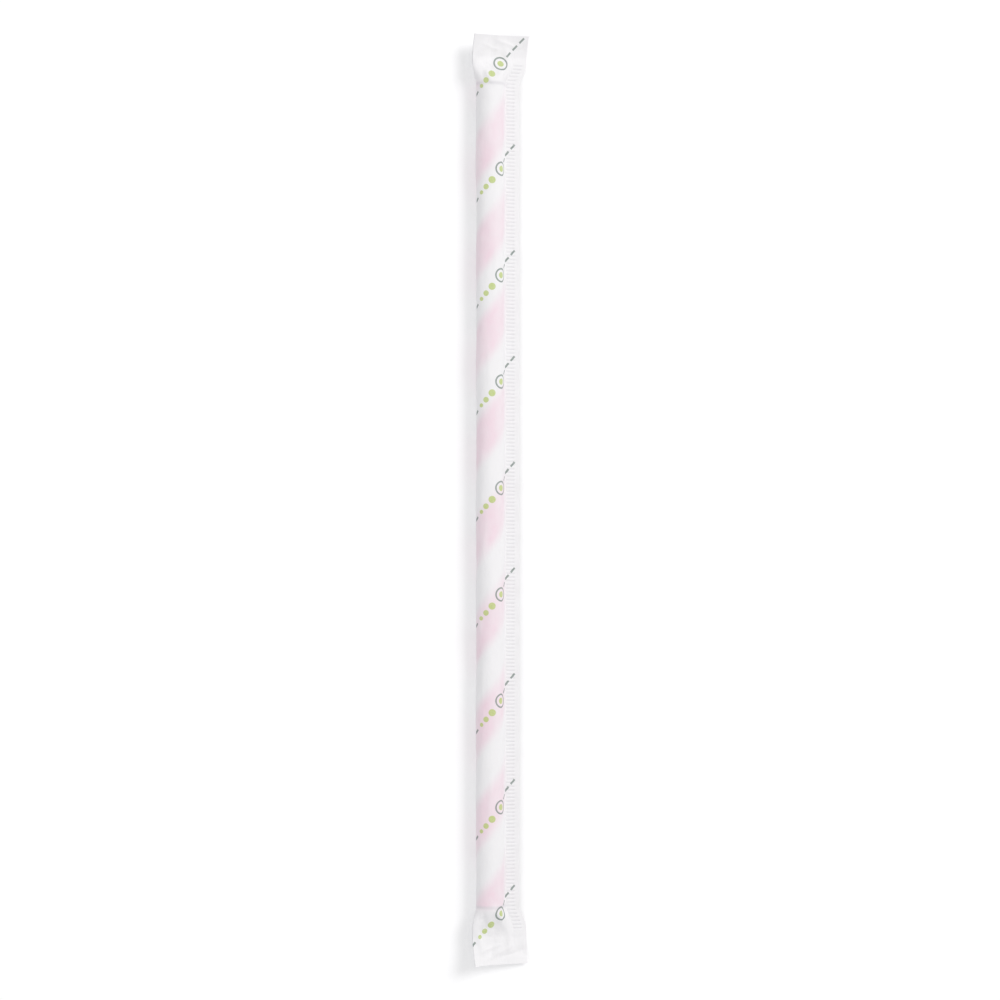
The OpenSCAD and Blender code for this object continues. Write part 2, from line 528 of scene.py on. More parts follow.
class Graph:
    """Adds nodes to one tree and wires them, with short calls for sums and masks."""

    def __init__(self, tree: bpy.types.NodeTree) -> None:
        """Starts on a tree.

        Args:
            tree: The material's or group's node tree.
        """
        self.tree = tree

    def node(self, kind: str, **settings: object) -> bpy.types.Node:
        """Adds a node.

        Args:
            kind: Its type's name.
            settings: Its own properties by name.

        Returns:
            The node.
        """
        made = self.tree.nodes.new(kind)
        for key, value in settings.items():
            setattr(made, key, value)
        return made

    def feed(self, target: Socket, value: object) -> None:
        """Links a socket to the target, or sets the target's number.

        Args:
            target: The input socket.
            value: A socket, a number or a colour.
        """
        if isinstance(value, bpy.types.NodeSocket):
            self.tree.links.new(value, target)
        else:
            target.default_value = value

    def math(self, operation: str, *values: Input) -> Socket:
        """Result of one Math node.

        Args:
            operation: The node's operation.
            values: What it works on.

        Returns:
            The result's socket.
        """
        made = self.node("ShaderNodeMath", operation=operation)
        for target, value in zip(made.inputs, values):
            self.feed(target, value)
        return made.outputs[0]

    def add(self, a: Input, b: Input) -> Socket:
        """Sum of two values."""
        return self.math("ADD", a, b)

    def sub(self, a: Input, b: Input) -> Socket:
        """Difference of two values."""
        return self.math("SUBTRACT", a, b)

    def mul(self, a: Input, b: Input) -> Socket:
        """Product of two values."""
        return self.math("MULTIPLY", a, b)

    def div(self, a: Input, b: Input) -> Socket:
        """First value divided by the second."""
        return self.math("DIVIDE", a, b)

    def size(self, value: Input) -> Socket:
        """Value without its sign."""
        return self.math("ABSOLUTE", value)

    def most(self, first: Input, *others: Input) -> Input:
        """Largest of several values.

        Args:
            first: One value.
            others: The others.

        Returns:
            The largest one's socket.
        """
        top = first
        for value in others:
            top = self.math("MAXIMUM", top, value)
        return top

    def held(self, value: Input, low: float, high: float) -> Socket:
        """Value kept between two numbers."""
        return self.math("MINIMUM", self.math("MAXIMUM", value, low), high)

    def ramp(self, value: Input, start: float, stop: float) -> Socket:
        """Grows softly from 0 to 1 while a value goes from start to stop.

        Args:
            value: The value.
            start: Where the result is 0.
            stop: Where the result is 1. It may be below start.

        Returns:
            The result's socket.
        """
        made = self.node("ShaderNodeMapRange", interpolation_type="SMOOTHSTEP")
        self.feed(made.inputs["Value"], value)
        made.inputs["From Min"].default_value = min(start, stop)
        made.inputs["From Max"].default_value = max(start, stop)
        made.inputs["To Min"].default_value = 0.0 if start < stop else 1.0
        made.inputs["To Max"].default_value = 1.0 if start < stop else 0.0
        return made.outputs["Result"]

    def scale_to(self, value: Input, low: float, high: float) -> Socket:
        """Spreads a mask of 0 to 1 over another range."""
        return self.math("MULTIPLY_ADD", value, high - low, low)

    def mix(self, factor: Input, a: object, b: object) -> Socket:
        """Mixes two colours.

        Args:
            factor: Share of the second, from 0 to 1.
            a: The first colour, or its socket.
            b: The second colour, or its socket.

        Returns:
            The mixed colour's socket.
        """
        made = self.node("ShaderNodeMix", data_type="RGBA")
        self.feed(made.inputs["Factor"], factor)
        colours = [s for s in made.inputs if s.type == "RGBA"]
        for target, value in zip(colours, (a, b)):
            self.feed(target, (*value, 1.0) if isinstance(value, tuple) else value)
        return next(s for s in made.outputs if s.type == "RGBA")

    def tinted(self, colour: object, shade: Socket) -> Socket:
        """Makes a colour lighter or darker.

        Args:
            colour: The colour, or its socket.
            shade: What it is multiplied by.

        Returns:
            The new colour's socket.
        """
        made = self.node("ShaderNodeVectorMath", operation="SCALE")
        self.feed(made.inputs[0], colour)
        self.feed(made.inputs["Scale"], shade)
        return made.outputs["Vector"]

    def noise(
        self, where: Socket, scale: float, detail: float = 3.0, rough: float = 0.55
    ) -> Socket:
        """Adds a noise texture.

        Args:
            where: Its coordinates.
            scale: How many waves there are to a unit.
            detail: How many finer layers it has.
            rough: How strong those layers are.

        Returns:
            Its value's socket, from 0 to 1.
        """
        made = self.node("ShaderNodeTexNoise")
        self.feed(made.inputs["Vector"], where)
        made.inputs["Scale"].default_value = scale
        made.inputs["Detail"].default_value = detail
        made.inputs["Roughness"].default_value = rough
        return made.outputs["Fac"]

    def stretched(self, where: Socket, x: float, y: float, z: float = 1.0) -> Socket:
        """Scales coordinates along each axis.

        Args:
            where: The coordinates.
            x: Factor along X.
            y: Factor along Y.
            z: Factor along Z.

        Returns:
            The scaled coordinates' socket.
        """
        made = self.node("ShaderNodeVectorMath", operation="MULTIPLY")
        self.feed(made.inputs[0], where)
        made.inputs[1].default_value = (x, y, z)
        return made.outputs["Vector"]

    def uv(self, name: str) -> Socket:
        """Coordinates of a named UV map."""
        return self.node("ShaderNodeUVMap", uv_map=name).outputs["UV"]

    def parts(self, vector: Socket) -> tuple[Socket, Socket]:
        """Takes the first two parts of a vector.

        Args:
            vector: The vector's socket.

        Returns:
            Its X and its Y.
        """
        made = self.node("ShaderNodeSeparateXYZ")
        self.feed(made.inputs[0], vector)
        return made.outputs[0], made.outputs[1]

    def placed(self, group: bpy.types.NodeTree, **values: object) -> bpy.types.Node:
        """Adds a node group and feeds its inputs.

        Args:
            group: The group's tree.
            values: What feeds each input, by its name.

        Returns:
            The group's node.
        """
        made = self.node("ShaderNodeGroup", node_tree=group)
        for key, value in values.items():
            self.feed(made.inputs[key], value)
        return made

    def bump(self, height: Socket, strength: float, distance: float) -> Socket:
        """Bumps the surface.

        Args:
            height: The height's socket.
            strength: Share of the bump that shows.
            distance: Height of a bump of 1, in metres.

        Returns:
            The normal's socket.
        """
        made = self.node("ShaderNodeBump")
        made.inputs["Strength"].default_value = strength
        made.inputs["Distance"].default_value = distance
        self.feed(made.inputs["Height"], height)
        return made.outputs["Normal"]


class ShaderGroup:
    """A node group that is made once and placed in each material that needs it.

    Attributes:
        title: The group's name.
        inputs: Kind and value of each input.
        outputs: Kind of each output.
        made: The trees built so far, by title.
    """

    title = "Group"
    inputs: dict[str, tuple[str, object]] = {}
    outputs: dict[str, str] = {}
    made: dict[str, bpy.types.NodeTree] = {}

    @classmethod
    def tree(cls) -> bpy.types.NodeTree:
        """Finds the group's tree, which the first call builds.

        Returns:
            The tree.
        """
        if cls.title not in ShaderGroup.made:
            tree = bpy.data.node_groups.new(cls.title, "ShaderNodeTree")
            for name, (kind, value) in cls.inputs.items():
                made = tree.interface.new_socket(name, in_out="INPUT", socket_type=kind)
                made.default_value = value
            for name, kind in cls.outputs.items():
                tree.interface.new_socket(name, in_out="OUTPUT", socket_type=kind)
            graph = Graph(tree)
            start = graph.node("NodeGroupInput").outputs
            stop = graph.node("NodeGroupOutput").inputs
            cls.fill(graph, start, stop)
            ShaderGroup.made[cls.title] = tree
        return ShaderGroup.made[cls.title]

    @classmethod
    def fill(cls, graph: Graph, start: object, stop: object) -> None:
        """Adds the group's nodes.

        Args:
            graph: The group's graph.
            start: Sockets that bring the group's inputs.
            stop: Sockets that take the group's outputs.
        """
        raise NotImplementedError


class PaperFibre(ShaderGroup):
    """Fibres and cloudy formation of thin paper: a shade mask and a height.

    Attributes:
        noise_middle: The noise's middle value, which leaves the shade as it is.
        cloud_height: How much the clouds add to the height.
    """

    title = "Paper fibre"
    inputs = {
        "Place": ("NodeSocketVector", (0.0, 0.0, 0.0)),
        "Cloud": ("NodeSocketFloat", 0.5),
        "Fibre": ("NodeSocketFloat", 0.5),
    }
    outputs = {"Shade": "NodeSocketFloat", "Height": "NodeSocketFloat"}
    noise_middle = 0.5
    cloud_height = 0.6

    @classmethod
    def fill(cls, graph: Graph, start: object, stop: object) -> None:
        """Adds clouds of a few millimetres, and fibres mostly along the paper's run.

        Args:
            graph: The group's graph.
            start: Sockets of the inputs.
            stop: Sockets of the outputs.
        """
        place = start["Place"]
        cloud = graph.noise(graph.stretched(place, 1.0, 0.6), scale=0.45, detail=4.0, rough=0.6)
        along = graph.noise(graph.stretched(place, 3.4, 0.9), scale=1.6, detail=5.0, rough=0.65)
        across = graph.noise(graph.stretched(place, 1.1, 3.0), scale=2.3, detail=4.0, rough=0.6)
        fibre = graph.mul(graph.add(along, across), 0.5)
        cloudy = graph.mul(graph.sub(cloud, cls.noise_middle), start["Cloud"])
        fibrous = graph.mul(graph.sub(fibre, cls.noise_middle), start["Fibre"])
        graph.feed(stop["Shade"], graph.add(cloudy, fibrous))
        graph.feed(stop["Height"], graph.add(fibre, graph.mul(cloud, cls.cloud_height)))


class StripeBand(ShaderGroup):
    """A band that covers part of each turn, from a phase that counts turns."""

    title = "Stripe band"
    inputs = {
        "Phase": ("NodeSocketFloat", 0.0),
        "Share": ("NodeSocketFloat", 0.5),
        "Blur": ("NodeSocketFloat", 0.01),
    }
    outputs = {"Band": "NodeSocketFloat"}

    @classmethod
    def fill(cls, graph: Graph, start: object, stop: object) -> None:
        """Compares the distance from the band's middle line with half its share.

        Args:
            graph: The group's graph.
            start: Sockets of the inputs.
            stop: Sockets of the outputs.
        """
        within = graph.math("FRACT", start["Phase"])
        away = graph.size(graph.sub(within, 0.5))
        beyond = graph.sub(away, graph.mul(start["Share"], 0.5))
        graph.feed(stop["Band"], graph.ramp(graph.div(beyond, start["Blur"]), 0.5, -0.5))


class KnurlShade(ShaderGroup):
    """Mask of painted shade in the pinched grooves of the knurled band.

    Attributes:
        sharpness: Power that makes the lines narrow.
        end_fade: Length over which they fade at the band's ends.
        side_fade: How far inside its sides they start, and how far inside they are whole.
    """

    title = "Knurl shade"
    inputs = {
        "Place": ("NodeSocketVector", (0.0, 0.0, 0.0)),
        "Start": ("NodeSocketFloat", 0.0),
        "Stop": ("NodeSocketFloat", 100.0),
        "Pitch": ("NodeSocketFloat", 1.0),
        "Inner": ("NodeSocketFloat", 0.0),
        "Outer": ("NodeSocketFloat", 1.0),
    }
    outputs = {"Groove": "NodeSocketFloat"}
    sharpness = 9.0
    end_fade = 0.9
    side_fade = (-0.05, 0.2)

    @classmethod
    def fill(cls, graph: Graph, start: object, stop: object) -> None:
        """Adds a narrow line of painted shade at each pitch, kept to the band and between its ends.

        Args:
            graph: The group's graph.
            start: Sockets of the inputs.
            stop: Sockets of the outputs.
        """
        across, along = graph.parts(start["Place"])
        beyond = graph.sub(along, start["Start"])
        turns = graph.div(beyond, start["Pitch"])
        wave = graph.math("COSINE", graph.mul(turns, math.pi))
        line = graph.math("POWER", graph.size(wave), cls.sharpness)
        run = graph.size(across)
        inward, outward = graph.sub(run, start["Inner"]), graph.sub(start["Outer"], run)
        within = graph.ramp(graph.math("MINIMUM", inward, outward), *cls.side_fade)
        left = graph.math("MINIMUM", beyond, graph.sub(start["Stop"], along))
        kept = graph.mul(within, graph.ramp(left, 0.0, cls.end_fade))
        graph.feed(stop["Groove"], graph.mul(line, kept))


@dataclass(frozen=True)
class MarkRow:
    """Masks of the marks on one slanting row, in millimetres.

    Attributes:
        graph: The graph that takes the nodes.
        along: Distance along the row from its middle.
        beside: Distance to the side of the row.
        soft: Half the width of a mark's soft edge.
        dash_step: Distance from dash to dash.
        dash_length: Length of a dash.
        dash_half: Half its width.
        ring_half: Half the width of a ring's line.
    """

    graph: Graph
    along: Socket
    beside: Socket
    soft: float = 0.07
    dash_step: float = 2.3
    dash_length: float = 1.5
    dash_half: float = 0.24
    ring_half: float = 0.19

    def within(self, distance: Socket, reach: float) -> Socket:
        """Soft-edged mask of where a distance is less than a reach."""
        return self.graph.ramp(distance, reach + self.soft, reach - self.soft)

    def distance(self, at: float) -> Socket:
        """Adds the distance from a point on the row.

        Args:
            at: Where the point lies along the row.

        Returns:
            The distance's socket.
        """
        graph = self.graph
        off = graph.sub(self.along, at)
        squares = graph.add(graph.mul(off, off), graph.mul(self.beside, self.beside))
        return graph.math("SQRT", squares)

    def dot(self, at: float, radius: float) -> Socket:
        """Filled round mark."""
        return self.within(self.distance(at), radius)

    def ring(self, at: float, radius: float) -> Socket:
        """Thin round line."""
        off = self.graph.size(self.graph.sub(self.distance(at), radius))
        return self.within(off, self.ring_half)

    def dashes(self, at: float, count: int) -> Socket:
        """Adds a line of short dashes along the row.

        Args:
            at: Where the first dash has its middle.
            count: How many dashes there are.

        Returns:
            The mask's socket.
        """
        graph = self.graph
        local = graph.sub(self.along, at)
        nearest = graph.math("ROUND", graph.div(local, self.dash_step))
        held = graph.held(nearest, 0.0, float(count - 1))
        off = graph.size(graph.sub(local, graph.mul(held, self.dash_step)))
        dash = self.within(off, self.dash_length / 2)
        return graph.mul(dash, self.within(graph.size(self.beside), self.dash_half))


class PrintedMarks(ShaderGroup):
    """Slanting rows of plain marks over the flat web: dashes, dots and rings.

    The rows repeat along the web. Dark holds the masks of the dashes and rings, and
    Light those of the dots.

    Attributes:
        repeat: Distance from row to row along the web.
        slant: Angle of the rows, in degrees.
        start_y: Station where the middle of one row crosses the fold.
        dash_runs: Place of each run's first dash along the row, and its number of dashes.
        rings: Place and radius of each ring.
        dots: Place and radius of each dot. The first two lie inside the rings.
    """

    title = "Printed marks"
    inputs = {"Place": ("NodeSocketVector", (0.0, 0.0, 0.0))}
    outputs = {"Dark": "NodeSocketFloat", "Light": "NodeSocketFloat"}
    repeat = 25.5
    slant = 48.0
    start_y = -6.0
    dash_runs = ((-17.4, 3), (-6.6, 4), (13.5, 3))
    rings = ((-9.7, 1.5), (10.4, 1.55))
    dots = ((-9.7, 0.7), (10.4, 0.75), (2.7, 0.5), (4.5, 0.68), (6.7, 0.85))

    @classmethod
    def nearest_row(cls, graph: Graph, place: Socket) -> MarkRow:
        """Adds the distances along and beside the nearest row.

        Args:
            graph: The group's graph.
            place: Coordinates on the flat web.

        Returns:
            The row.
        """
        across, along = graph.parts(place)
        along = graph.sub(along, cls.start_y)
        c, s = math.cos(math.radians(cls.slant)), math.sin(math.radians(cls.slant))
        down_row = graph.add(graph.mul(across, c), graph.mul(along, s))
        off_row = graph.sub(graph.mul(along, c), graph.mul(across, s))
        row = graph.math("ROUND", graph.div(off_row, cls.repeat * c))
        on_row = graph.sub(down_row, graph.mul(row, cls.repeat * s))
        beside = graph.sub(off_row, graph.mul(row, cls.repeat * c))
        return MarkRow(graph, on_row, beside)

    @classmethod
    def fill(cls, graph: Graph, start: object, stop: object) -> None:
        """Places every mark along the nearest row.

        Args:
            graph: The group's graph.
            start: Sockets of the inputs.
            stop: Sockets of the outputs.
        """
        row = cls.nearest_row(graph, start["Place"])
        dashes = [row.dashes(at, count) for at, count in cls.dash_runs]
        rings = [row.ring(at, radius) for at, radius in cls.rings]
        dots = [row.dot(at, radius) for at, radius in cls.dots]
        graph.feed(stop["Dark"], graph.most(*dashes, *rings))
        graph.feed(stop["Light"], graph.most(*dots))


def new_material(name: str) -> tuple[bpy.types.Material, Graph, bpy.types.Node]:
    """Makes an empty material with a Principled shader.

    Args:
        name: The material's name.

    Returns:
        The material, its graph and its shader node.
    """
    material = bpy.data.materials.new(name)
    material.use_nodes = True
    material.node_tree.nodes.clear()
    graph = Graph(material.node_tree)
    shader = graph.node("ShaderNodeBsdfPrincipled")
    output = graph.node("ShaderNodeOutputMaterial")
    graph.feed(output.inputs["Surface"], shader.outputs["BSDF"])
    return material, graph, shader


def lay_paper(
    graph: Graph,
    shader: bpy.types.Node,
    colour: object,
    fibre: bpy.types.Node,
    lightest: float,
    roughness: tuple[float, float],
) -> None:
    """Feeds a paper's colour and roughness, both varied by its fibres, to its shader.

    Args:
        graph: The material's graph.
        shader: Its shader node.
        colour: The paper's colour, or its socket.
        fibre: The placed group of its fibres.
        lightest: What multiplies the colour where the fibres are lightest.
        roughness: Least and most roughness.
    """
    shade = graph.scale_to(fibre.outputs["Shade"], 1.0, lightest)
    graph.feed(shader.inputs["Base Color"], graph.tinted(colour, shade))
    rough = graph.scale_to(fibre.outputs["Height"], *roughness)
    graph.feed(shader.inputs["Roughness"], rough)


@dataclass(frozen=True)
class WrappingPaper:
    """Thin white paper, printed, through which the straw's stripes show, with painted shade lines.

    Attributes:
        white: The bare paper.
        glow: The red stripe seen through it.
        dark_ink: The grey-green ink.
        light_ink: The yellow-green ink.
        rim: The painted shade's grey, where the paper steps off the straw's cut end and in the
            knurls' grooves.
        fade: How quickly the stripes fade as the paper leaves the straw.
        blur: Width of the stripes' soft edges in turns, where the paper is close.
        blur_growth: How much wider they get for each millimetre of gap.
        stray: How far the edges stray, in turns.
        clearness: How much of the stripes shows where the paper is cloudy, and where clear.
        rim_shade_strength: How much of the painted shade shows where the paper steps off the straw.
        groove_shade_strength: How much of the painted shade shows in the knurls' grooves.
        wear: Least and most of the ink that is left.
        roughness: Least and most roughness.
    """

    white: Colour = linear(246, 245, 247)
    glow: Colour = linear(246, 222, 233)
    dark_ink: Colour = linear(112, 130, 122)
    light_ink: Colour = linear(190, 208, 112)
    rim: Colour = linear(222, 220, 225)
    fade: float = 0.5
    blur: float = 0.2
    blur_growth: float = 0.2
    stray: float = 0.012
    clearness: tuple[float, float] = (0.68, 1.02)
    rim_shade_strength: float = 0.55
    groove_shade_strength: float = 0.45
    wear: tuple[float, float] = (0.62, 0.98)
    roughness: tuple[float, float] = (0.48, 0.64)

    def stripes(self, graph: Graph, web: FoldedWeb, sheet: Socket) -> Socket:
        """Adds the mask of the stripes that show through.

        Args:
            graph: The material's graph.
            web: The folded web.
            sheet: Coordinates on the flat web.

        Returns:
            The mask's socket.
        """
        phase, gap = graph.parts(graph.uv(STRAW_MAP))
        tightest = -0.05
        lifted = graph.most(graph.sub(gap, web.sizes.side_gap), tightest)
        wander = graph.noise(sheet, scale=0.35, detail=2.0)
        band = graph.placed(
            StripeBand.tree(),
            Phase=graph.add(phase, graph.scale_to(wander, -self.stray, self.stray)),
            Share=0.5,
            Blur=graph.add(graph.mul(lifted, self.blur_growth), self.blur),
        )
        near = graph.math("EXPONENT", graph.mul(lifted, -1.0 / self.fade))
        cloud = graph.scale_to(graph.noise(sheet, scale=0.5, detail=3.0), *self.clearness)
        return graph.mul(graph.mul(band.outputs["Band"], near), cloud)

    def painted_rim_shade(self, graph: Graph, web: FoldedWeb, sheet: Socket) -> Socket:
        """Adds the mask of the painted shade line where the paper steps off the straw.

        Args:
            graph: The material's graph.
            web: The folded web.
            sheet: Coordinates on the flat web.

        Returns:
            The mask's socket.
        """
        past_end, half_width = 0.25, 0.7
        gone, whole = 2.4, 0.4
        along = graph.size(graph.parts(sheet)[1])
        off = graph.size(graph.sub(along, web.straw.length / 2 + past_end))
        close = graph.ramp(graph.parts(graph.uv(STRAW_MAP))[1], gone, whole)
        rim = graph.mul(graph.ramp(off, half_width, 0.0), close)
        return graph.mul(rim, self.rim_shade_strength)

    def grooves(self, graph: Graph, web: FoldedWeb, sheet: Socket) -> Socket:
        """Adds the mask of the painted shade in the knurls' pinched grooves.

        Args:
            graph: The material's graph.
            web: The folded web.
            sheet: Coordinates on the flat web.

        Returns:
            The mask's socket.
        """
        low, high = web.knurl_range
        past_root = web.half_run - web.root_u
        knurls = graph.placed(
            KnurlShade.tree(),
            Place=sheet,
            Start=low,
            Stop=high,
            Pitch=web.sizes.rib_pitch,
            Inner=web.knurl_u + past_root,
            Outer=web.lip_u + past_root,
        )
        return graph.mul(knurls.outputs["Groove"], self.groove_shade_strength)

    def printed(self, graph: Graph, sheet: Socket, paper: Socket) -> Socket:
        """Adds both inks over the paper, a little worn.

        Args:
            graph: The material's graph.
            sheet: Coordinates on the flat web.
            paper: The unprinted paper's colour.

        Returns:
            The printed paper's colour.
        """
        marks = graph.placed(PrintedMarks.tree(), Place=sheet)
        worn = graph.scale_to(graph.noise(sheet, scale=2.2, detail=3.0), *self.wear)
        light = graph.mul(marks.outputs["Light"], worn)
        dark = graph.mul(marks.outputs["Dark"], worn)
        return graph.mix(dark, graph.mix(light, paper, self.light_ink), self.dark_ink)

    def material(self, web: FoldedWeb) -> bpy.types.Material:
        """Builds the material.

        Args:
            web: The folded web, which says where the straw and the knurls lie.

        Returns:
            The finished material.
        """
        made, graph, shader = new_material("wrapping_paper")
        sheet = graph.uv(FLAT_MAP)
        colour = graph.mix(self.stripes(graph, web, sheet), self.white, self.glow)
        # Painted shade: a soft grey line where the paper steps off the straw's cut ends.
        colour = graph.mix(self.painted_rim_shade(graph, web, sheet), colour, self.rim)
        # Painted shade: thin grey lines in the knurls' pinched grooves, in the same grey.
        colour = graph.mix(self.grooves(graph, web, sheet), colour, self.rim)
        colour = self.printed(graph, sheet, colour)
        fibre = graph.placed(PaperFibre.tree(), Place=sheet, Cloud=0.5, Fibre=0.5)
        lay_paper(graph, shader, colour, fibre, lightest=1.07, roughness=self.roughness)
        shader.inputs["Specular IOR Level"].default_value = 0.35
        crinkle_height, fibre_height = 1.6, 0.35
        long_place = graph.stretched(sheet, 0.8, 0.35)
        crinkle = graph.noise(long_place, scale=1.1, detail=4.0, rough=0.6)
        crinkled = graph.mul(crinkle, crinkle_height)
        height = graph.add(crinkled, graph.mul(fibre.outputs["Height"], fibre_height))
        bumped = graph.bump(height, strength=0.6, distance=0.0001)
        graph.feed(shader.inputs["Normal"], bumped)
        return made


@dataclass(frozen=True)
class StripedPaper:
    """Outer ply of the straw: smooth paper with one red band a turn.

    Attributes:
        red: The band.
        white: The paper beside it.
        joint: A thin line along the band's edge that has no groove.
        joint_strength: How much of that line shows.
        jitter: How far the band's edges stray, in turns.
        roughness: Least and most roughness.
    """

    red: Colour = linear(200, 26, 44)
    white: Colour = linear(240, 238, 233)
    joint: Colour = linear(150, 60, 62)
    joint_strength: float = 0.6
    jitter: float = 0.0016
    roughness: tuple[float, float] = (0.36, 0.5)

    def material(self) -> bpy.types.Material:
        """Builds the material.

        Returns:
            The finished material.
        """
        made, graph, shader = new_material("straw_striped")
        place = graph.uv(FLAT_MAP)
        phase, _ = graph.parts(graph.uv(STRAW_MAP))
        stray = graph.scale_to(graph.noise(place, scale=3.0), -self.jitter, self.jitter)
        band = graph.placed(StripeBand.tree(), Phase=graph.add(phase, stray), Share=0.5, Blur=0.006)
        colour = graph.mix(band.outputs["Band"], self.white, self.red)
        line = graph.placed(
            StripeBand.tree(), Phase=graph.add(phase, BAND_EDGE_TURN), Share=0.0, Blur=0.012
        )
        shown = graph.mul(line.outputs["Band"], self.joint_strength)
        colour = graph.mix(shown, colour, self.joint)
        fibre = graph.placed(PaperFibre.tree(), Place=place, Cloud=0.5, Fibre=0.6)
        lay_paper(graph, shader, colour, fibre, lightest=1.12, roughness=self.roughness)
        bumped = graph.bump(fibre.outputs["Height"], strength=0.3, distance=0.00004)
        graph.feed(shader.inputs["Normal"], bumped)
        return made


@dataclass(frozen=True)
class BarePaper:
    """Unprinted straw paper, on the bore and on the cut ends.

    Attributes:
        name: The material's name.
        colour: The paper's colour.
        glue: The colour of the lines where plies meet.
        fibre: How strongly the fibres show.
        ply: Thickness of one of the three plies whose edges show, or 0 for none.
        roughness: Least and most roughness.
    """

    name: str
    colour: Colour = linear(236, 231, 220)
    glue: Colour = linear(196, 186, 170)
    fibre: float = 0.8
    ply: float = 0.0
    roughness: tuple[float, float] = (0.66, 0.86)

    def ply_lines(self, graph: Graph, place: Socket) -> Socket:
        """Adds the two lines of glue between the three plies.

        Args:
            graph: The material's graph.
            place: Coordinates whose Y is the depth from the outside.

        Returns:
            The colour's socket.
        """
        depth = graph.div(graph.parts(place)[1], self.ply)
        line = graph.held(graph.math("ROUND", depth), 1.0, 2.0)
        off = graph.size(graph.sub(depth, line))
        edge, core = 0.2, 0.04
        return graph.mix(graph.ramp(off, edge, core), self.colour, self.glue)

    def material(self) -> bpy.types.Material:
        """Builds the material.

        Returns:
            The finished material.
        """
        made, graph, shader = new_material(self.name)
        place = graph.uv(FLAT_MAP)
        colour = self.ply_lines(graph, place) if self.ply > 0 else self.colour
        fibre = graph.placed(PaperFibre.tree(), Place=place, Cloud=0.6, Fibre=self.fibre)
        lay_paper(graph, shader, colour, fibre, lightest=1.2, roughness=self.roughness)
        bumped = graph.bump(fibre.outputs["Height"], strength=0.5, distance=0.00006)
        graph.feed(shader.inputs["Normal"], bumped)
        return made


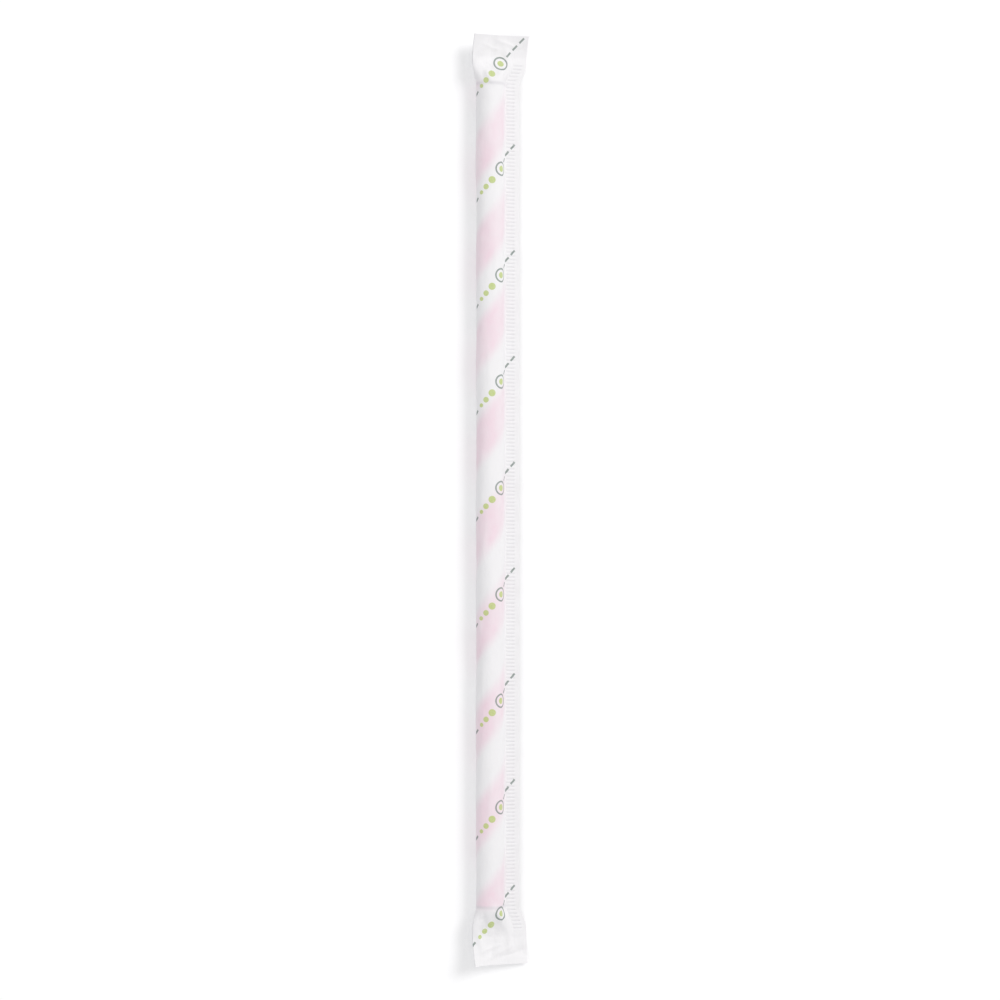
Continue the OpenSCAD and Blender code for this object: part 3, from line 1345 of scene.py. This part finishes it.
@dataclass
class StrawTube:
    """The spiral-wound straw: a tube whose grid follows its own stripe.

    Attributes:
        web: The folded web round it, which says how it lies.
        around: Steps round the tube.
        finish: The printed outer ply.
        bore: The inner ply.
        cut: The cut ends.
    """

    web: FoldedWeb
    around: int = 72
    finish: StripedPaper = field(default_factory=StripedPaper)
    bore: BarePaper = field(default_factory=lambda: BarePaper("straw_bore"))
    cut: BarePaper = field(default_factory=lambda: BarePaper("straw_cut", fibre=1.0, ply=0.14))

    def row_phases(self) -> list[float]:
        """Places the grid's rows within one turn, close together at the joint.

        Returns:
            The rows' places, from 0 to just below 1.
        """
        near = self.sizes.joint_width / self.sizes.stripe_pitch
        inner = [near / 2, near, 2 * near]
        first_even, even_rows = 0.08, 15
        even = np.linspace(first_even, 1 - first_even, even_rows)
        return [0.0, *inner, *even, *(1 - x for x in reversed(inner))]

    @property
    def sizes(self) -> StrawSizes:
        """The straw's sizes."""
        return self.web.straw

    def wound_grid(self) -> tuple[np.ndarray, dict[str, np.ndarray], list[list[int]]]:
        """Winds the outer surface, longer than the straw at both ends.

        Returns:
            The points round the straw's axis, the UV maps' values and the faces.
        """
        sizes = self.sizes
        pitch, hand = sizes.stripe_pitch, sizes.hand.value
        spare_turns = 2
        reach = math.ceil(sizes.length / pitch / 2 + spare_turns)
        climbs = np.array([k + p for k in range(-reach, reach) for p in self.row_phases()])
        turn = np.linspace(0.0, 1.0, self.around + 1)
        climb, part = np.meshgrid(climbs, turn, indexing="ij")
        y = pitch * (climb + hand * part - BAND_EDGE_TURN)
        off = np.abs(climb - np.round(climb)) * pitch
        groove = np.exp(-((2 * off / sizes.joint_width) ** 2))
        radius = sizes.radius - sizes.joint_depth * groove
        angle = np.pi - 2 * np.pi * part
        points = np.stack([radius * np.cos(angle), y, radius * np.sin(angle)], -1)
        flat = np.stack([2 * np.pi * sizes.radius * part, y], -1)
        stripe = np.stack([climb - BAND_EDGE_TURN, np.zeros_like(climb)], -1)
        maps = {FLAT_MAP: flat.reshape(-1, 2), STRAW_MAP: stripe.reshape(-1, 2)}
        index = np.arange(climb.size).reshape(climb.shape)
        return points.reshape(-1, 3), maps, grid_faces(index)

    def build(self) -> bpy.types.Object:
        """Makes the tube, cuts its ends square and gives it its wall.

        Returns:
            The finished piece.
        """
        points, maps, faces = self.wound_grid()
        obj = mesh_from_faces("straw_tube", points * MM, faces, maps)
        bm = bmesh.new()
        bm.from_mesh(obj.data)
        self.cut_square(bm)
        self.give_wall(bm)
        bm.to_mesh(obj.data)
        bm.free()
        coords = np.empty(len(obj.data.vertices) * 3)
        obj.data.vertices.foreach_get("co", coords)
        laid = self.web.laid_down(coords.reshape(-1, 3) / MM)
        obj.data.vertices.foreach_set("co", laid.ravel())
        self.dress(obj)
        return obj

    def cut_square(self, bm: bmesh.types.BMesh) -> None:
        """Trims the wound surface to the straw's length and closes it round.

        Points close to a cut are moved onto it first, so that it leaves no slivers.

        Args:
            bm: The untrimmed outer surface, round the straw's axis, in metres.
        """
        half = self.sizes.length / 2 * MM
        near, on_cut, same = 0.05 * MM, 0.005 * MM, 1e-7
        for vert in bm.verts:
            if abs(abs(vert.co.y) - half) < near:
                vert.co.y = math.copysign(half, vert.co.y)
        for side in (-1.0, 1.0):
            bmesh.ops.bisect_plane(
                bm,
                geom=[*bm.verts, *bm.edges, *bm.faces],
                dist=1e-8,
                plane_co=(0.0, side * half, 0.0),
                plane_no=(0.0, side, 0.0),
                clear_outer=True,
            )
        rims = [vert for vert in bm.verts if abs(abs(vert.co.y) - half) < on_cut]
        bmesh.ops.remove_doubles(bm, verts=rims, dist=near)
        bmesh.ops.remove_doubles(bm, verts=bm.verts, dist=same)

    def give_wall(self, bm: bmesh.types.BMesh) -> None:
        """Adds the plain bore and the two cut ends to the trimmed outer surface.

        Args:
            bm: The outer surface, round the straw's axis, in metres.
        """
        sizes = self.sizes
        bore_r = (sizes.radius - sizes.wall) * MM
        rims = [edge for edge in bm.edges if edge.is_boundary]
        made = bmesh.ops.duplicate(bm, geom=[*bm.verts, *bm.edges, *bm.faces])
        inner = made["vert_map"]
        for item in made["geom"]:
            if isinstance(item, bmesh.types.BMVert):
                item.co.xz = item.co.xz.normalized() * bore_r
            elif isinstance(item, bmesh.types.BMFace):
                item.material_index = 1
        flat = bm.loops.layers.uv[FLAT_MAP]
        for edge in rims:
            a, b = edge.verts
            face = bm.faces.new((a, b, inner[b], inner[a]))
            face.material_index = 2
            face.smooth = True
            start = math.atan2(a.co.z, a.co.x)
            turn = math.atan2(b.co.z, b.co.x) - start
            turn = (turn + math.pi) % (2 * math.pi) - math.pi
            arcs = (start, start + turn, start + turn, start)
            depths = (0, 0, sizes.wall, sizes.wall)
            for loop, arc, depth in zip(face.loops, arcs, depths):
                loop[flat].uv = (arc * sizes.radius, depth)
        bmesh.ops.recalc_face_normals(bm, faces=bm.faces)
        for edge in bm.edges:
            edge.smooth = len({face.material_index for face in edge.link_faces}) == 1

    def dress(self, obj: bpy.types.Object) -> None:
        """Gives the tube its three finishes and its place in the row.

        Args:
            obj: The tube.
        """
        for finish in (self.finish, self.bore, self.cut):
            obj.data.materials.append(finish.material())
        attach(obj, "root")
        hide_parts("straw")


@dataclass
class WrapperSheet:
    """The wrapping paper: one folded web with its knurled seam and pressed ends.

    Attributes:
        web: The folded shape.
        arc_columns: Columns of the grid from the fold to the root, on each layer.
        rib_rows: Rows of the grid to a rib.
        finish: The printed paper.
        dents: How far the paper swells and dips along the straw.
        fold_keel: How far the old fold stands out along the straw.
        seam_slack: How far the paper stands off the straw on its way to the seam.
        lip_wave: How far the lip waves.
        tab_wave: How far the tabs' ends wave.
        thickness: The sheet's drawn thickness.
    """

    web: FoldedWeb
    arc_columns: int = 28
    rib_rows: int = 6
    finish: WrappingPaper = field(default_factory=WrappingPaper)
    dents: float = 0.13
    fold_keel: float = 0.13
    seam_slack: float = 0.16
    lip_wave: float = 0.13
    tab_wave: float = 0.4
    thickness: float = 0.05

    def rows(self) -> np.ndarray:
        """Works out the grid's stations along the web.

        Returns:
            The stations, from the lower end to the upper.
        """
        web = self.web
        step = web.sizes.rib_pitch / self.rib_rows
        low, _ = web.knurl_range
        least_step = 0.3
        first = math.ceil((web.lower_edge - low) / step + least_step)
        last = math.floor((web.upper_edge - low) / step - least_step)
        inner = low + step * np.arange(first, last + 1)
        return np.concatenate([[web.lower_edge], inner, [web.upper_edge]])

    def columns(self) -> np.ndarray:
        """Works out the grid's columns on one layer, close together at each line.

        Returns:
            Their distances from the fold, from 0 to the web's edge.
        """
        web = self.web
        at_fold, arc_start = [0.0, 0.16, 0.42], 0.95
        arc = np.linspace(arc_start, web.half_run, self.arc_columns - 2)
        outside, inside = 0.02, 0.12
        seam = np.array(
            [
                web.knurl_u - outside,
                web.knurl_u + inside,
                web.lip_u - inside,
                web.lip_u + outside,
                (web.lip_u + web.edge_u) / 2,
                web.edge_u,
            ]
        )
        return np.concatenate([at_fold, arc, seam - web.root_u + web.half_run])

    def faces(self, y: np.ndarray, columns: int) -> list[list[int]]:
        """Joins the grid's points, with every row only in the seam and the ends.

        Args:
            y: The grid's stations.
            columns: The grid's number of columns.

        Returns:
            Vertex numbers of each face. Triangles lead from the fine rows to the
            coarse ones.
        """
        index = np.arange(len(y) * columns).reshape(len(y), columns)
        fine_run = 1.5
        near_end = np.abs(y) > self.web.round_half - fine_run
        on_rib = np.arange(len(y)) % self.rib_rows == 0
        coarse = np.flatnonzero(near_end | on_rib)
        low = columns // 2 - self.arc_columns + 1
        high = columns // 2 + self.arc_columns - 1
        made = grid_faces(index[:, : low + 1]) + grid_faces(index[:, high:])
        made += grid_faces(index[coarse, low + 1 : high])
        for a, b in zip(coarse[:-1], coarse[1:]):
            up = index[a : b + 1]
            down = up[::-1]
            made += fan_faces(down[:, low], down[0, low + 1], down[-1, low + 1])
            made += fan_faces(up[:, high], up[0, high - 1], up[-1, high - 1])
        return made

    def layer_creases(self) -> list[CreaseLine]:
        """Lists the sharp lines of one layer: the upper one where s is above 0.

        Returns:
            The lines.
        """
        web = self.web
        top, bottom = web.round_half, -web.round_half
        up, down = web.upper_crease, web.lower_crease
        drawn = [
            CreaseLine((4.6, top - 0.2), (1.3, up - 0.3), 0.5, 0.6),
            CreaseLine((5.0, top), (8.8, up - 0.5), 0.42, 0.55),
            CreaseLine((4.7, top + 1.8), (4.3, up), -0.42, 0.9),
            CreaseLine((7.4, top + 0.8), (9.3, up - 2.0), -0.3, 0.5),
            CreaseLine((2.0, top + 0.5), (3.3, up - 1.2), -0.26, 0.4),
            CreaseLine((-4.8, top), (-1.6, up - 0.3), 0.4, 0.6),
            CreaseLine((-5.2, top), (-8.6, up - 0.6), 0.36, 0.6),
            CreaseLine((5.2, bottom + 0.2), (1.6, down + 0.4), 0.46, 0.6),
            CreaseLine((4.9, bottom), (8.9, down + 0.4), 0.5, 0.55),
            CreaseLine((5.1, bottom - 2.0), (5.6, down), -0.44, 0.9),
            CreaseLine((2.2, bottom - 0.8), (3.8, down + 1.4), -0.26, 0.4),
            CreaseLine((7.6, bottom - 0.4), (8.0, down + 2.0), -0.28, 0.4),
            CreaseLine((-4.6, bottom), (-2.0, down + 0.4), 0.4, 0.6),
            CreaseLine((-5.4, bottom), (-8.4, down + 0.6), 0.36, 0.6),
        ]
        fine = self.fine_creases(count=16, seed=3)
        return drawn + fine + self.long_creases(count=14, seed=8)

    def long_creases(self, count: int, seed: int) -> list[CreaseLine]:
        """Draws faint creases that run along the sleeve.

        Args:
            count: How many there are.
            seed: Seed of the draw.

        Returns:
            The lines.
        """
        web = self.web
        rng = np.random.default_rng(seed)
        from_fold, from_root, slant = 0.8, 1.2, 0.06
        made = []
        for _ in range(count):
            side = rng.uniform(from_fold, web.half_run - from_root)
            s = side * rng.choice((-1.0, 1.0))
            y = rng.uniform(-web.round_half, web.round_half)
            length = rng.uniform(6.0, 26.0)
            stop = (s + rng.normal(0.0, slant) * length, y + length)
            height = rng.uniform(0.08, 0.15)
            spread = rng.uniform(0.3, 0.5)
            made.append(CreaseLine((s, y), stop, height, spread))
        return made

    def fine_creases(self, count: int, seed: int) -> list[CreaseLine]:
        """Draws small creases that fan out over both tapers.

        Args:
            count: How many there are on each taper.
            seed: Seed of the draw.

        Returns:
            The lines.
        """
        web = self.web
        rng = np.random.default_rng(seed)
        from_edge, from_end, wild = 0.8, 1.5, 0.5
        made = []
        for end, taper in ((1.0, web.sizes.upper.taper), (-1.0, web.sizes.lower.taper)):
            for _ in range(count):
                side = rng.uniform(from_edge, web.half_run - from_edge)
                s = side * rng.choice((-1.0, 1.0))
                y = web.round_half + rng.uniform(-from_end, taper - from_end)
                fan = (abs(s) - web.half_run / 2) / web.half_run * np.sign(s)
                turn = fan + rng.normal(0.0, wild)
                reach = rng.uniform(1.4, 4.2)
                stop = (s + reach * math.sin(turn), end * (y + reach * math.cos(turn)))
                height = rng.uniform(0.07, 0.17) * rng.choice((-1.0, 1.0))
                spread = rng.uniform(0.18, 0.32)
                made.append(CreaseLine((s, end * y), stop, height, spread))
        return made

    def sheet_creases(self) -> list[CreaseLine]:
        """Lists the sharp lines that both layers share, by their distance from the fold.

        Returns:
            The lines.
        """
        web = self.web
        up, down = web.upper_crease, web.lower_crease
        return [
            CreaseLine((0.6, up - 1.8), (3.9, up + 4.6), 0.55, 0.6),
            CreaseLine((4.9, up - 0.8), (5.3, up + 5.6), -0.48, 0.7),
            CreaseLine((9.4, up - 2.2), (7.9, up + 3.2), 0.54, 0.55),
            CreaseLine((10.4, up - 0.2), (13.6, up + 3.6), -0.4, 0.5),
            CreaseLine((2.4, up + 3.0), (7.2, up + 1.6), 0.2, 0.3),
            CreaseLine((6.2, up + 4.0), (11.6, up + 2.2), 0.26, 0.32),
            CreaseLine((0.8, down + 2.0), (2.8, down - 4.4), 0.54, 0.6),
            CreaseLine((5.9, down + 1.2), (4.3, down - 6.6), -0.52, 0.75),
            CreaseLine((9.0, down + 2.0), (9.3, down - 4.2), 0.56, 0.55),
            CreaseLine((10.6, down - 0.4), (13.7, down - 5.2), -0.44, 0.5),
            CreaseLine((1.6, down - 3.4), (7.4, down - 1.8), 0.24, 0.3),
            CreaseLine((7.0, down - 4.8), (12.4, down - 3.6), -0.22, 0.3),
            CreaseLine((3.2, down - 5.4), (9.8, down - 2.2), 0.28, 0.32),
        ]

    def corner_curls(self) -> list[CornerCurl]:
        """Lists the tabs' corners that stand up.

        Returns:
            The four corners.
        """
        web = self.web
        high, low, wide = web.upper_edge, web.lower_edge, web.half_web
        return [
            CornerCurl((wide, high), (0.8, 1.0), 4.6, 0.9),
            CornerCurl((0.0, high), (-0.6, 1.0), 3.4, 0.5),
            CornerCurl((0.0, low), (-0.7, -1.0), 5.4, 1.5),
            CornerCurl((wide, low), (0.5, -1.0), 3.6, 0.55),
        ]

    def shape(self) -> tuple[np.ndarray, dict[str, np.ndarray], list[list[int]]]:
        """Folds the grid into its place round the straw.

        Returns:
            The points round the straw's axis, the UV maps' values and the faces.
        """
        web = self.web
        y = self.rows()
        half = self.columns()
        s = np.concatenate([-half[:0:-1], half])
        run = np.abs(s)
        layer = np.where(s < 0, -1.0, 1.0)
        shares = np.minimum(half / web.half_run, 1.0)
        us, ws = web.half_section(y, shares)
        take = np.concatenate([np.arange(len(half) - 1, 0, -1), np.arange(len(half))])
        u, w = us[:, take], ws[:, take]
        past_root = np.maximum(run - web.half_run, 0.0)
        u = u + past_root
        ss, yy = np.meshgrid(s, y)
        normal_u, normal_w = self.normals(u, w)
        push = self.push(ss, yy)
        u = u + push * normal_u
        w = (w + push * normal_w) * layer
        w = w + web.gather(u, yy) + self.seam_offset(ss, yy, u)
        flat = np.stack([ss, yy], -1).reshape(-1, 2)
        turn = (np.pi - np.arctan2(np.abs(w), u)) / (2 * np.pi) * layer
        climb = yy / web.straw.stripe_pitch - web.straw.hand.value * turn
        gap_r = np.maximum(np.hypot(u, w) - web.straw.radius, 0.0)
        gap_y = np.maximum(np.abs(yy) - web.straw.length / 2, 0.0)
        over = np.stack([climb, np.hypot(gap_r, gap_y)], -1).reshape(-1, 2)
        u = u + web.swing(yy)
        w = w + web.tab_rise(yy)
        u, w = self.rested(u, w)
        points = np.stack([u, yy, w], -1).reshape(-1, 3)
        return points, {FLAT_MAP: flat, STRAW_MAP: over}, self.faces(y, len(s))

    @staticmethod
    def normals(u: np.ndarray, w: np.ndarray) -> tuple[np.ndarray, np.ndarray]:
        """Works out which way is outward on the upper half's section.

        Args:
            u: Distances across, one row a station.
            w: Heights above the seam's plane.

        Returns:
            The u and w of each point's outward direction.
        """
        middle = u.shape[1] // 2
        du = np.gradient(u[:, middle:], axis=1)
        dw = np.gradient(w[:, middle:], axis=1)
        size = np.maximum(np.hypot(du, dw), 1e-9)
        nu, nw = -dw / size, du / size
        nu[:, 0], nw[:, 0] = -1.0, 0.0
        return (np.concatenate([nu[:, :0:-1], nu], 1), np.concatenate([nw[:, :0:-1], nw], 1))

    def push(self, s: np.ndarray, y: np.ndarray) -> np.ndarray:
        """Adds up how far the sleeve's paper stands out from its plain section.

        Args:
            s: Distances from the fold on the flat web.
            y: Stations along the web.

        Returns:
            The distance at each point, 0 at the seam and in the flat ends.
        """
        web = self.web
        run = np.abs(s)
        long_dents = SoftNoise(seed=11, across=5.0, along=16.0).at(s, y)
        short_dents = SoftNoise(seed=23, across=2.6, along=5.0).at(s, y)
        keel_width, slack_from, slack_over = 0.35, 4.6, 2.2
        long_share, short_share = 0.75, 0.4
        total = self.dents * (long_share * long_dents + short_share * short_dents)
        total = total + self.fold_keel * np.exp(-run / keel_width)
        total = total + self.seam_slack * smooth_step((run - slack_from) / slack_over)
        for line in self.layer_creases():
            total = total + line.field(s, y)
        room, share_of_hollow, past_end = 0.09, 0.6, 0.2
        on_straw = np.abs(y) < web.straw.length / 2 + past_end
        least = np.where(on_straw, -room, -web.half_height(y) * share_of_hollow)
        root_clear, root_run = 0.4, 1.6
        inside = smooth_step((web.half_run - root_clear - run) / root_run)
        still_round, flattened = 0.6, 0.4
        pressed = 1.0 - smooth_step((web.flatness(y) - still_round) / flattened)
        return np.maximum(total, least) * inside * pressed

    def seam_offset(self, s: np.ndarray, y: np.ndarray, u: np.ndarray) -> np.ndarray:
        """Adds up the rise of both layers together: ribs, waves, creases and curls.

        Args:
            s: Distances from the fold on the flat web.
            y: Stations along the web.
            u: Distances across towards the seam.

        Returns:
            The rise at each point.
        """
        web = self.web
        run = np.abs(s)
        band_edge, late, early = 0.05, 1.4, 1.6
        in_band = (u > web.knurl_u + band_edge) & (u < web.lip_u - band_edge)
        ribs = np.where(in_band, web.rib(y), 0.0)
        outer = np.clip((u - web.lip_u) / web.sizes.lip, 0.0, 1.0)
        flutter = SoftNoise(seed=5, across=30.0, along=5.0).at(s * 0.0, y)
        free = 1.0 - smooth_step(web.flatness(y))
        lip = self.lip_wave * flutter * outer * free
        tab = np.where(y > 0, web.sizes.upper.tab, web.sizes.lower.tab)
        wave = SoftNoise(seed=37, across=13.0, along=60.0, waves=8).at(run, y)
        total = ribs + lip + self.tab_wave * wave * (web.past_crease(y) / tab) ** late
        for line in self.sheet_creases():
            total = total + line.field(run, y) * smooth_step(web.flatness(y) * early)
        for curl in self.corner_curls():
            total = total + curl.field(run, y)
        return total

    def rested(self, u: np.ndarray, w: np.ndarray) -> tuple[np.ndarray, np.ndarray]:
        """Lifts what would reach below the surface onto it.

        Args:
            u: Distances across towards the seam.
            w: Heights above the seam's plane.

        Returns:
            The new u and w.
        """
        web = self.web
        clear = 0.004
        c, s = math.cos(web.lean), math.sin(web.lean)
        z = -u * s + w * c + web.sleeve_r
        lift = np.maximum(self.thickness / 2 + clear - z, 0.0)
        return u - lift * s, w + lift * c

    def build(self) -> bpy.types.Object:
        """Makes the sheet, gives it its thickness and its finish.

        Returns:
            The finished piece.
        """
        points, maps, faces = self.shape()
        obj = mesh_from_faces("wrapper_sheet", self.web.laid_down(points), faces, maps)
        sharpen_rims(obj.data)
        paper = obj.modifiers.new("paper", "SOLIDIFY")
        paper.thickness = self.thickness * MM
        paper.offset = 0.0
        obj.data.materials.append(self.finish.material(self.web))
        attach(obj, "root")
        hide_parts("wrapper")
        return obj


@dataclass(frozen=True)
class Lamp:
    """One soft square lamp, aimed at the middle of the object.

    Attributes:
        name: Its name.
        place: Where it hangs, in metres.
        size: Length of its side, in metres.
        power: Its power, in watts.
        colour: The light's colour.
    """

    name: str
    place: tuple[float, float, float]
    size: float
    power: float
    colour: Colour = (1.0, 1.0, 1.0)

    def build(self) -> bpy.types.Object:
        """Makes the lamp.

        Returns:
            The lamp.
        """
        data = bpy.data.lights.new(self.name, "AREA")
        data.size = self.size
        data.energy = self.power
        data.color = self.colour
        obj = bpy.data.objects.new(self.name, data)
        obj.location = self.place
        aim = -Vector(self.place)
        obj.rotation_euler = aim.to_track_quat("-Z", "Y").to_euler()
        bpy.context.scene.collection.objects.link(obj)
        return obj


@dataclass(frozen=True)
class Studio:
    """Pale floor, soft lamps, plain world and the camera above the object.

    Attributes:
        floor_colour: The floor as the lamps light it.
        floor_glow: What is added to the floor for the camera alone.
        far_glow: What is added on top of that far from the object.
        world_level: Strength of the world's even light.
        lamps: The lamps.
        floor_half: Half the floor's side, in metres.
        lens: The camera's focal length, in millimetres.
        sensor: The camera's sensor width, in millimetres.
        frame_width: Width of the view at the object, in metres.
    """

    floor_colour: Colour = (0.86, 0.86, 0.87)
    floor_glow: float = 0.25
    far_glow: float = 0.35
    world_level: float = 0.57
    lamps: Sequence[Lamp] = (
        Lamp("key_lamp", (1.15, 0.75, 1.35), 0.8, 16.0, (1.0, 0.99, 0.98)),
        Lamp("fill_lamp", (-1.5, -0.6, 1.0), 1.2, 5.4, (0.98, 0.98, 1.0)),
    )
    floor_half: float = 2.5
    lens: float = 100.0
    sensor: float = 36.0
    frame_width: float = 0.2415

    def build(self) -> None:
        """Makes the whole studio."""
        self.build_floor()
        self.build_world()
        for lamp in self.lamps:
            lamp.build()
        self.build_camera()

    def build_floor(self) -> None:
        """Makes the floor that the object lies on."""
        mesh = bpy.data.meshes.new("floor")
        r = self.floor_half
        corners = [(-r, -r, 0), (r, -r, 0), (r, r, 0), (-r, r, 0)]
        mesh.from_pydata(corners, [], [(0, 1, 2, 3)])
        obj = bpy.data.objects.new("floor", mesh)
        bpy.context.scene.collection.objects.link(obj)
        mesh.materials.append(self.floor_material())

    def floor_material(self) -> bpy.types.Material:
        """Builds the floor's pale material, which is white to the camera far away.

        Returns:
            The finished material.
        """
        made, graph, shader = new_material("floor")
        shader.inputs["Base Color"].default_value = (*self.floor_colour, 1.0)
        shader.inputs["Roughness"].default_value = 0.95
        shader.inputs["Specular IOR Level"].default_value = 0.1
        shader.inputs["Emission Color"].default_value = (1.0, 1.0, 1.0, 1.0)
        seen = graph.node("ShaderNodeLightPath").outputs["Is Camera Ray"]
        away = graph.node("ShaderNodeVectorMath", operation="LENGTH")
        where = graph.node("ShaderNodeNewGeometry").outputs["Position"]
        graph.feed(away.inputs[0], where)
        near_by, far_off = 0.2, 1.6
        far = graph.ramp(away.outputs["Value"], near_by, far_off)
        glow = graph.scale_to(far, self.floor_glow, self.floor_glow + self.far_glow)
        graph.feed(shader.inputs["Emission Strength"], graph.mul(seen, glow))
        return made

    def build_world(self) -> None:
        """Makes even light all round, and white where the camera or gloss sees it."""
        world = bpy.data.worlds.new("studio")
        bpy.context.scene.world = world
        world.use_nodes = True
        world.node_tree.nodes.clear()
        graph = Graph(world.node_tree)
        paths = graph.node("ShaderNodeLightPath").outputs
        seen = graph.most(
            paths["Is Camera Ray"], paths["Is Glossy Ray"], paths["Is Transmission Ray"]
        )
        sky = graph.node("ShaderNodeBackground")
        sky.inputs["Color"].default_value = (1.0, 1.0, 1.0, 1.0)
        level = graph.scale_to(seen, self.world_level, 1.0)
        graph.feed(sky.inputs["Strength"], level)
        output = graph.node("ShaderNodeOutputWorld")
        graph.feed(output.inputs["Surface"], sky.outputs["Background"])

    def build_camera(self) -> None:
        """Makes the camera, straight above the object as the photograph looks at it."""
        data = bpy.data.cameras.new("camera")
        data.lens = self.lens
        data.sensor_width = self.sensor
        data.clip_start = 0.01
        data.clip_end = 10.0
        obj = bpy.data.objects.new("camera", data)
        obj.location = (0.0, 0.0, self.frame_width * self.lens / self.sensor)
        bpy.context.scene.collection.objects.link(obj)
        bpy.context.scene.camera = obj


def report_piece(obj: bpy.types.Object) -> None:
    """Logs a piece's name and the number of its triangles.

    Args:
        obj: The piece.
    """
    shown = obj.evaluated_get(bpy.context.evaluated_depsgraph_get()).to_mesh()
    shown.calc_loop_triangles()
    LOG.info("%s: %d triangles", obj.name, len(shown.loop_triangles))


def build_scene() -> None:
    """Builds both pieces and the studio, and sets the colour handling."""
    logging.basicConfig(level=logging.INFO, format="%(name)s: %(message)s")
    web = FoldedWeb(StrawSizes(), WrapperSizes())
    makers: list[Callable[[], bpy.types.Object]] = [StrawTube(web).build, WrapperSheet(web).build]
    for make in makers:
        report_piece(make())
    Studio().build()
    bpy.context.scene.view_settings.view_transform = "Standard"


if __name__ == "__main__":
    build_scene()
